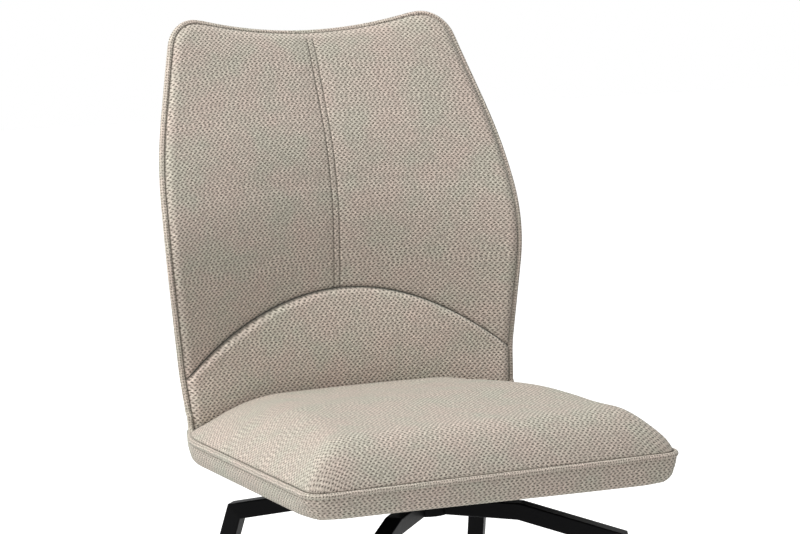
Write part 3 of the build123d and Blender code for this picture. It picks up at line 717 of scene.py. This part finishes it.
def standOff(x, z, rise):
    # a point that stands off the parting line, square to the back's lean
    lean = leanAt(z)
    return x, partingDepth(x, z) - rise * math.cos(lean) ** 2, z + rise * math.cos(lean) * math.sin(lean)


def clothHeight(z):
    # height for the cloth, which runs longer up the leaning part of the back
    b = backLines
    bend = b["bendHeight"]
    return z + (z - bend) * b["clothGain"] * ease(z, bend, bend + b["clothEase"])


def upperPads():
    s, o = upperPad, outlineSteps
    low, arc, high = upperOutline(s["inset"], s["topInset"])
    sideArc, topArc = halves(arc)
    for side, name, node in ((1, "upperPadLeft", "upper_pad_left"), (-1, "upperPadRight", "upper_pad_right")):
        above = [p for p in low if p[1] > archHeight(side * p[0])]
        foot = (above[0][0], archHeight(side * above[0][0]))
        rightLine = [foot] + above + sideArc
        topLine = list(reversed(topArc + high))
        archLine = [(x, archHeight(side * x)) for x in evenly(foot[0], s["archSteps"])]
        middle = [(0, archHeight(0)), (0, topLine[0][1])]
        us, vs = spacing(s["columns"], s["crowd"]), spacing(s["rows"], s["crowd"])
        grid = coons(along(archLine), along(topLine), along(middle), along(rightLine), us, vs)
        outer = nearTree(dense(rightLine) + dense(topLine))
        seam = nearTree([(x, archHeight(side * x)) for x in range(o["archStart"], o["archEnd"])])
        near, far, uvs, shades = [], [], [], []
        for x, z in grid:
            toEdge = outer.find((x, z, 0))[2]
            toArch = seam.find((x, z, 0))[2]
            near.append(standOff(side * x, z, upperRise(x, z, toEdge, toArch)))
            far.append((side * x, partingDepth(x, z) - backLines["partingGap"], z))
            uvs.append((side * x, clothHeight(z)))
            # painted shade at the outline, the arched seam and the stitch grooves
            stitched = s["stitchShade"] * stitchFade(x, z) \
                * math.exp(-((x - s["stitchGap"]) / s["stitchShadeWidth"]) ** 2)
            shades.append(max(seamLine(toEdge, s["seamShadeWidth"]),
                              seamLine(toArch, s["archShadeWidth"]), stitched))
        pad = closedPad(name, near, far, uvs, shades, s["columns"] + 1, s["rows"] + 1, flip=side < 0)
        pad.data.materials.append(coverCloth)
        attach(pad, "seat")
        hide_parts(node)


def centreStitches():
    # two rows of sunk stitches, one each side of the middle seam
    s = stitches
    points, faces, uvs = [], [], []
    top = topHeight(0) - upperPad["stitchTopFade"]
    sides, rings = s["sides"], len(s["profile"])
    for x in (-upperPad["stitchGap"], upperPad["stitchGap"]):
        z = backLines["archApex"] + s["aboveArch"]
        while z + s["length"] < top:
            for share, plump, sink in s["profile"]:
                height = z + s["length"] * share
                rise = upperRise(x, height, s["toEdge"], height - archHeight(x))
                middle = Vector(standOff(x, height, rise - sink))
                for n in range(sides):
                    a = 2 * math.pi * n / sides
                    points.append(middle + Vector((math.cos(a), math.sin(a), 0)) * s["radius"] * plump)
                    uvs.append((a, height))
            first = len(points) - rings * sides
            faces += ringFaces(first, rings, sides)
            faces.append(tuple(first + n for n in range(sides))[::-1])
            faces.append(tuple(first + (rings - 1) * sides + n for n in range(sides)))
            z += s["pitch"]
    piece = meshPiece("centreStitches", points, faces, uvs)
    piece.data.materials.append(stitchThread)
    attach(piece, "seat")


upperPads()
centreStitches()
print("upper pads made")


# pad under the arched seam

lumbar = {
    "inset": 6.2, "foot": 458, "startHeight": 540, "rim": 8,
    "hollow": 7, "fall": 22, "fallStart": 515, "fallPower": 1.6,
    # painted shade widths at the side seams and the arched seam
    "edgeRound": 12, "archRound": 7, "valley": 1.8, "seamShadeWidth": 1.8, "archShadeWidth": 1.6,
    "columns": 200, "rows": 80, "crowd": 0.6,
}


def lumbarFace(z):
    s = lumbar
    fall = max(0, z - s["fallStart"]) / (backLines["archApex"] - s["fallStart"])
    return edgeDepth(z) - s["rim"], backDepth(z) + s["hollow"] + s["fall"] * fall ** s["fallPower"]


def underArch(x, z):
    # distance down to a point from the arched seam
    return (archHeight(x) - z) / math.sqrt(1 + (x / backLines["archRadius"]) ** 2)


def lumbarSurface(x, z):
    # y of the pad's front face, drawn in to the valley of the arched seam
    s = lumbar
    edge, deep = lumbarFace(z)
    full = acrossBack(x, edge, deep, z)
    upEdge, upDeep = padFace(archHeight(x))
    valley = acrossBack(x, upEdge, upDeep, archHeight(x)) + s["valley"]
    return full + (valley - full) * (1 - roundOver(underArch(x, z), s["archRound"]))


def lumbarPad():
    s, b = lumbar, backLines
    near, far, uvs, shades = [], [], [], []
    for v in spacing(s["rows"], s["crowd"]):
        for u in spacing(s["columns"], s["crowd"]):
            z = s["startHeight"]
            for _ in range(settlePasses):
                x = (2 * u - 1) * (halfWidth(z) - s["inset"])
                z = s["foot"] + (archHeight(x) - s["foot"]) * v
            rear = partingDepth(x, z)
            toEdge = halfWidth(z) - s["inset"] - abs(x)
            rise = (rear - lumbarSurface(x, z)) * roundOver(toEdge, s["edgeRound"])
            near.append((x, rear - max(b["leastRise"], rise), z))
            far.append((x, rear - b["partingGap"], z))
            uvs.append((x, z))
            # painted shade at the side seams and the arched seam
            shades.append(max(seamLine(toEdge, s["seamShadeWidth"]),
                              seamLine(underArch(x, z), s["archShadeWidth"])))
    pad = closedPad("lumbarPad", near, far, uvs, shades, s["columns"] + 1, s["rows"] + 1)
    pad.data.materials.append(lumbarPaintedLightCloth)
    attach(pad, "seat")
    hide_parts("lumbar_pad")


lumbarPad()
print("lumbar pad made")


# cover over the rear of the back

rearCover = {
    "inset": 6.2, "topInset": 5.0, "edgeRound": 10, "foot": 437.5, "footCorner": 12, "footRound": 7,
    # painted shade width along the outline's seam
    "cornerSteps": 24, "seamShadeWidth": 1.8, "columns": 150, "rows": 150, "crowd": 0.75,
}


def rearCoverPiece():
    s, b = rearCover, backLines
    low, arc, high = upperOutline(s["inset"], s["topInset"])
    sideArc, topArc = halves(arc)
    corner = halfWidth(s["foot"]) - s["inset"]
    radius = s["footCorner"]
    turn = [(corner - radius + radius * math.sin(a), s["foot"] + radius - radius * math.cos(a))
            for a in evenly(math.pi / 2, s["cornerSteps"])]
    footTurn, sideTurn = halves(turn)
    sideLine = [p for p in low if p[1] > s["foot"] + radius + outlineSteps["arcGap"]] + sideArc
    rightLine = sideTurn + sideLine
    topHalf = topArc + high
    topLine = mirrored(topHalf) + list(reversed(topHalf))[1:]
    footLine = mirrored(reversed(footTurn)) + footTurn
    us, vs = spacing(s["columns"], s["crowd"]), spacing(s["rows"], s["crowd"])
    grid = coons(along(footLine), along(topLine), along(mirrored(rightLine)), along(rightLine), us, vs)
    outer = nearTree(dense(sideLine) + dense(topLine) + dense(mirrored(sideLine)))
    footTree = nearTree(dense(turn) + dense(mirrored(turn)) + dense(footLine))
    near, far, uvs, shades = [], [], [], []
    for x, z in grid:
        parting = partingDepth(x, z)
        edge = edgeDepth(z) + b["rearRim"]
        deep = backDepth(z) + hollowAt(z) + padDepth(z) + b["rearDepth"]
        rear = acrossBack(x, edge, deep, z)
        toEdge, toFoot = outer.find((x, z, 0))[2], footTree.find((x, z, 0))[2]
        rise = (rear - parting) * roundOver(toEdge, s["edgeRound"]) * roundOver(toFoot, s["footRound"])
        rise = max(b["leastRise"], rise)
        lean = leanAt(z)
        near.append((x, parting + b["partingGap"], z))
        far.append((x, parting + rise * math.cos(lean) ** 2, z - rise * math.cos(lean) * math.sin(lean)))
        uvs.append((x, clothHeight(z)))
        # painted shade along the outline's seam
        shades.append(seamLine(toEdge, s["seamShadeWidth"]))
    cover = closedPad("rearCover", near, far, uvs, shades, s["columns"] + 1, s["rows"] + 1)
    cover.data.materials.append(coverCloth)
    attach(cover, "seat")
    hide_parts("rear_cover")


rearCoverPiece()
print("rear cover made")


# seat cushion and its side band

seatShape = {
    "halfWidth": 237, "front": 185.5, "seam": 472, "frontCorner": 20,
    "rearCorner": 110, "rearLead": 48, "pipingRadius": 3.5,
    "crown": 50, "fullness": 0.96, "frontShoulder": 58,
    "sideShoulder": 79, "rearSideShoulder": 120, "frontSideShoulder": 57,
    "rearSwell": (-60, 190), "frontSwell": (-180, -70), "fullCorner": 2.2,
    "rearFall": 0.30, "rearFallFrom": (0, 200), "creaseRound": 24, "creaseDrop": 13, "creaseEnd": 30,
    "tuck": 8, "inset": 2.6, "rearLift": 30, "rearGap": 1.0, "cornerShare": 0.3,
    "lip": 0.2, "lipWidth": 18, "underside": 8,
    # painted shade: darker along the seam, in the crease at the back and towards the front seam
    "seamShadeWidth": 1.1, "seamShadeDepth": 0.5, "creaseShadeWidth": 5, "creaseShadeDepth": 0.8,
    "frontShade": 0.12, "frontShadeReach": 40,
    "cornerSteps": 16, "planStep": 4, "rearSteps": 60, "tuckSteps": 12,
    "columns": 170, "rows": 150, "crowd": 0.8,
}


def rearTurn():
    # angle by which the seat's outline turns in towards the foot of the back
    s = seatShape
    return math.atan2(s["halfWidth"] - halfWidth(s["seam"]) + s["pipingRadius"], s["rearLead"])


def seatEdge(inset, rear, steps):
    # plan outline from the rear left, forward, across the front and back: points with outward normals
    s = seatShape
    half, front, turn = s["halfWidth"], -s["front"], rearTurn()
    kink = backLines["face"] - s["rearLead"]
    run = (rear - kink) / math.cos(turn)
    edge = [(half - run * math.sin(turn) - inset * math.cos(turn), rear - inset * math.sin(turn),
             math.cos(turn), math.sin(turn))]
    rearRadius, frontRadius = s["rearCorner"], s["frontCorner"]
    corners = ((half - rearRadius, kink - rearRadius * math.tan(turn / 2), rearRadius, turn, 0),
               (half - frontRadius, front + frontRadius, frontRadius, 0, -math.pi / 2))
    for cx, cy, radius, start, stop in corners:
        for swept in evenly(stop - start, steps):
            a = start + swept
            edge.append((cx + (radius - inset) * math.cos(a), cy + (radius - inset) * math.sin(a),
                         math.cos(a), math.sin(a)))
    return edge + [(-x, y, -nx, ny) for x, y, nx, ny in reversed(edge)]


def swell(share):
    # rise of a stuffed edge, from 0 at the seam to 1 at its shoulder
    return (1 - (1 - min(1, max(0, share))) ** 2) ** seatShape["fullness"]


def fullCorner(side, front):
    # rise where the side and the front swell meet, so the corners stay stuffed
    power = seatShape["fullCorner"]
    side, front = max(side, 0.001), max(front, 0.001)
    return (side ** -power + front ** -power - 1) ** (-1 / power)


def cushionPlan():
    # the cushion's right, front and rear edges in plan
    s = seatShape
    edge = seatEdge(s["inset"], backLines["face"], s["cornerSteps"])
    flat = dense([(x, y) for x, y, _, _ in edge if x > 0], s["planStep"])

    def rearLine(x):                            # the face of the lumbar pad just above the seat
        return lumbarSurface(x, s["seam"] + s["rearLift"]) - s["rearGap"]
    corner = min(flat, key=lambda q: abs(q[1] - rearLine(q[0])))
    reach = corner[0] - s["tuck"]               # the two rear corners are tucked in round
    rearRun = [(x, rearLine(x)) for x in evenly(reach, s["rearSteps"])]
    ahead = [q for q in flat if q[1] < corner[1] - s["tuck"]]
    ends = list(zip(rearRun[-1], corner, ahead[0]))
    bend = [tuple((1 - t) ** 2 * a + 2 * t * (1 - t) * b + t * t * c for a, b, c in ends)
            for t in evenly(1, s["tuckSteps"])]
    rearBend, sideBend = halves(bend)
    side = sideBend + ahead
    inward = s["frontCorner"] * s["cornerShare"]
    turn = (s["halfWidth"] - inward, inward - s["front"])
    split = min(range(len(side)), key=lambda i: math.dist(side[i], turn))
    frontHalf = side[split:] + [(0, side[-1][1])]
    rearHalf = rearRun[:-1] + rearBend
    rightLine = list(reversed(side[:split + 1]))
    frontLine = mirrored(frontHalf) + list(reversed(frontHalf))[1:]
    rearAll = mirrored(reversed(rearHalf)) + rearHalf[1:]
    return rightLine, frontLine, rearAll


def cushionRise(y, seamGap, sideGap, frontGap, creaseGap):
    s = seatShape
    shoulder = s["sideShoulder"] + (s["rearSideShoulder"] - s["sideShoulder"]) * ease(y, *s["rearSwell"]) \
        + (s["frontSideShoulder"] - s["sideShoulder"]) * (1 - ease(y, *s["frontSwell"]))
    rise = s["crown"] * fullCorner(swell(sideGap / shoulder), swell(frontGap / s["frontShoulder"]))
    rise *= min(1, seamGap / max(0.001, min(sideGap, frontGap)))
    rise *= 1 - s["rearFall"] * ease(y, *s["rearFallFrom"])
    rise -= s["creaseDrop"] * (1 - roundOver(creaseGap, s["creaseRound"])) * min(1, sideGap / s["creaseEnd"])
    return max(0.0, rise)


def seatCushion():
    s = seatShape
    rightLine, frontLine, rearAll = cushionPlan()
    leftLine = mirrored(rightLine)
    us, vs = spacing(s["columns"], s["crowd"]), spacing(s["rows"], s["crowd"])
    grid = coons(along(frontLine), along(rearAll), along(leftLine), along(rightLine), us, vs)
    seamTree = nearTree(dense(rightLine) + dense(frontLine) + dense(leftLine))
    sideTree = nearTree(dense(rightLine) + dense(leftLine))
    creaseTree = nearTree(dense(rearAll))
    top, low, shades = [], [], []
    for x, y in grid:
        seamGap = seamTree.find((x, y, 0))[2]
        sideGap = sideTree.find((x, y, 0))[2]
        frontGap = max(0, y + s["front"] - s["inset"])
        creaseGap = creaseTree.find((x, y, 0))[2]
        top.append((x, y, s["seam"] + cushionRise(y, seamGap, sideGap, frontGap, creaseGap)))
        low.append((x, y, s["seam"] - (s["lip"] if seamGap < s["lipWidth"] else s["underside"])))
        # painted shade in the seam, the rear crease and near the front
        shades.append(max(s["seamShadeDepth"] * seamLine(seamGap, s["seamShadeWidth"]),
                          s["creaseShadeDepth"] * seamLine(creaseGap, s["creaseShadeWidth"]),
                          s["frontShade"] * (1 - ease(frontGap, 0, s["frontShadeReach"]))))
    uvs = clothLie(top, s["columns"] + 1, s["rows"] + 1)
    cushion = closedPad("seatCushion", low, top, uvs, shades, s["columns"] + 1, s["rows"] + 1, flip=True)
    cushion.data.materials.append(coverCloth)
    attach(cushion, "seat")
    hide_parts("seat_cushion")


seatCushion()
print("seat cushion made")

band = {
    "height": 34.8, "uneven": 2.4,      # mm; sewn a little deeper towards one side
    "draft": 3.5, "footRound": 9, "cornerRound": 16, "cornerReach": (8, 50),
    # topShades: painted shade along the band's top, under the piping
    "topEdge": ((2.6, -0.6), (-0.9, -2.0)), "topShades": (0.6, 0.5, 0.2),
    "puff": 2.0, "puffStart": 0.25, "puffTop": 1.4, "sideSteps": 9, "footSteps": 7,
    "lip": 34, "lipThickness": 3, "wall": 14, "wallFoot": 5,
    "rearReach": 2, "cornerSteps": 14, "step": 5,
}


def bandProfile(height, foot):
    # section of the band, as distances in from the seam's outline and down from it
    b = band
    profile = [(b["wall"], 0), *b["topEdge"]]
    for k in range(1, b["sideSteps"]):
        t = k / b["sideSteps"]
        puff = b["puff"] * math.sin(math.pi * (b["puffStart"] + (1 - b["puffStart"]) * t))
        profile.append((-puff, -(height - foot) * t - b["puffTop"]))
    for a in evenly(math.pi / 2, b["footSteps"]):
        profile.append((foot * (1 - math.cos(a)), -height + foot * (1 - math.sin(a))))
    return profile + [(b["lip"], -height), (b["lip"], -height + b["lipThickness"]),
                      (b["wall"], -height + b["wallFoot"])]


def bandOutline():
    # the seat's outline in plan, at close steps
    b = band
    rough = seatEdge(0, backLines["face"] + b["rearReach"], b["cornerSteps"])
    outline = []
    for p, q in zip(rough, rough[1:]):
        count = max(1, int(math.dist(p[:2], q[:2]) / b["step"]))
        outline += [tuple(a + (c - a) * k / count for a, c in zip(p, q)) for k in range(count)]
    return outline + [rough[-1]]


def seatBand():
    s, b = seatShape, band
    outline = bandOutline()
    points, uvs, faces, shades = [], [], [], []
    run = 0
    for i, (x, y, nx, ny) in enumerate(outline):
        height = b["height"] + b["uneven"] * math.sin(math.pi * x / (2 * s["halfWidth"]))
        toCorner = math.dist((abs(x), y), (s["halfWidth"], -s["front"]))
        foot = b["footRound"] + (b["cornerRound"] - b["footRound"]) * (1 - ease(toCorner, *b["cornerReach"]))
        profile = bandProfile(height, foot)
        if i:
            run += math.dist(outline[i - 1][:2], (x, y))
        length = 0
        for k, (inset, down) in enumerate(profile):
            drawn = inset + b["draft"] * abs(nx) * min(1, max(0, -down / height))
            points.append((x - nx * drawn, y - ny * drawn, s["seam"] + down))
            # painted shade on the first points under the piping
            shades.append(b["topShades"][k] if k < len(b["topShades"]) else 0.0)
            if k:
                length += math.dist(profile[k - 1], (inset, down))
            uvs.append((run, -length))
    n = len(profile)
    for i in range(len(outline) - 1):
        for k in range(n):
            a, c = i * n + k, i * n + (k + 1) % n
            faces.append((a, a + n, c + n, c))
    faces.append(tuple(range(n)))
    faces.append(tuple(range((len(outline) - 1) * n, len(outline) * n))[::-1])
    piece = meshPiece("seatBand", points, faces, uvs, shades)
    piece.data.materials.append(coverCloth)
    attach(piece, "seat")
    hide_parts("seat_border")


seatBand()
print("seat band made")


# piping in the seam round the seat and the back

piping = {"radius": 3.5, "turnRadius": 12, "turnRise": 18, "sides": 14, "step": 3}


def pipingPiece():
    # round the front of the seat, up one side of the back and in along its top; the other half is mirrored
    s, p, b = seatShape, piping, backLines
    inset = s["pipingRadius"]
    low, rise = s["seam"] - inset, s["seam"] + p["turnRise"]
    corners = [(0, -s["front"], low), (s["halfWidth"], -s["front"], low),
               (s["halfWidth"], b["face"] - s["rearLead"], low),
               (halfWidth(low) - inset, edgeDepth(low), low),
               (halfWidth(rise) - inset, edgeDepth(rise), rise)]
    half = roundedLine(corners, [s["frontCorner"], s["rearCorner"], p["turnRadius"]], p["step"])
    side, arc, top = upperOutline(inset, inset)
    outline = dense([q for q in side if q[1] > rise + p["step"]] + arc + top, p["step"])
    half += [Vector((x, partingDepth(x, z), z)) for x, z in outline]
    whole = half + [Vector((-q.x, q.y, q.z)) for q in reversed(half)][1:]
    piece = closedTube("edgePiping", whole, p["radius"], p["sides"])
    piece.data.materials.append(pipingCloth)
    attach(piece, "seat")
    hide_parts("edge_piping")


pipingPiece()
print("piping made")


# floor, light and camera

studio = {
    "camera": (-1.6410, -3.0915, 1.2429), "heading": 27.5, "pitch": 9.18, "lens": 138.18, "sensor": 36,
    "world": 0.36, "floorSize": 14, "floorGlow": 0.75, "lampAim": (0, 0, 0.6),
    "keyPower": 130, "keySize": 2.0, "keyPlace": (-1.7, -0.1, 3.1),
    "fillPower": 28, "fillSize": 1.8, "fillPlace": (-1.6, -3.4, 0.6),
}


def buildWorld(scene):
    # white where the camera, glossy faces or clear pieces see it, and a plain level as light
    world = bpy.data.worlds.new("studioWorld")
    scene.world = world
    world.use_nodes = True
    tree = world.node_tree
    background = tree.nodes["Background"]
    path = tree.nodes.new("ShaderNodeLightPath")
    seen = mathNode(tree, "MAXIMUM", path.outputs["Is Camera Ray"], path.outputs["Is Transmission Ray"])
    seen = mathNode(tree, "MAXIMUM", seen, path.outputs["Is Glossy Ray"])
    strength = tree.nodes.new("ShaderNodeMapRange")
    strength.inputs["To Min"].default_value = studio["world"]
    strength.inputs["To Max"].default_value = 1.0
    tree.links.new(seen, strength.inputs["Value"])
    tree.links.new(strength.outputs["Result"], background.inputs["Strength"])
    background.inputs["Color"].default_value = (1, 1, 1, 1)


def buildFloor():
    bpy.ops.mesh.primitive_plane_add(size=studio["floorSize"], location=(0, 0, 0))
    floor = bpy.context.object
    floor.name = "floor"
    material, tree, shader = newMaterial("paleFloor", (0.8, 0.8, 0.79), 0.7)
    floor.data.materials.append(material)
    # glows a little for the camera and glossy faces, so it reads white and its shadows stay
    path = tree.nodes.new("ShaderNodeLightPath")
    seen = mathNode(tree, "MAXIMUM", path.outputs["Is Camera Ray"], path.outputs["Is Glossy Ray"])
    glow = mathNode(tree, "MULTIPLY", seen, studio["floorGlow"])
    shader.inputs["Emission Color"].default_value = (1, 1, 1, 1)
    tree.links.new(glow, shader.inputs["Emission Strength"])


def addLamp(scene, name):
    light = bpy.data.lights.new(name, "AREA")
    light.energy = studio[name + "Power"]
    light.size = studio[name + "Size"]
    lamp = bpy.data.objects.new(name, light)
    place = Vector(studio[name + "Place"])
    lamp.location = place
    lamp.rotation_euler = (Vector(studio["lampAim"]) - place).to_track_quat("-Z", "Y").to_euler()
    scene.collection.objects.link(lamp)


def addCamera(scene):
    s = studio
    camera = bpy.data.cameras.new("camera")
    camera.lens = s["lens"]
    camera.sensor_width = s["sensor"]
    camera.sensor_fit = "HORIZONTAL"
    viewer = bpy.data.objects.new("camera", camera)
    viewer.location = s["camera"]
    heading, pitch = math.radians(s["heading"]), math.radians(s["pitch"])
    level = math.cos(pitch)
    look = Vector((math.sin(heading) * level, math.cos(heading) * level, -math.sin(pitch)))
    viewer.rotation_euler = look.to_track_quat("-Z", "Y").to_euler()
    scene.collection.objects.link(viewer)
    scene.camera = viewer


def buildStudio():
    scene = bpy.context.scene
    scene.view_settings.view_transform = "Standard"
    buildWorld(scene)
    buildFloor()
    addLamp(scene, "key")
    addLamp(scene, "fill")
    addCamera(scene)


buildStudio()
print("studio made")
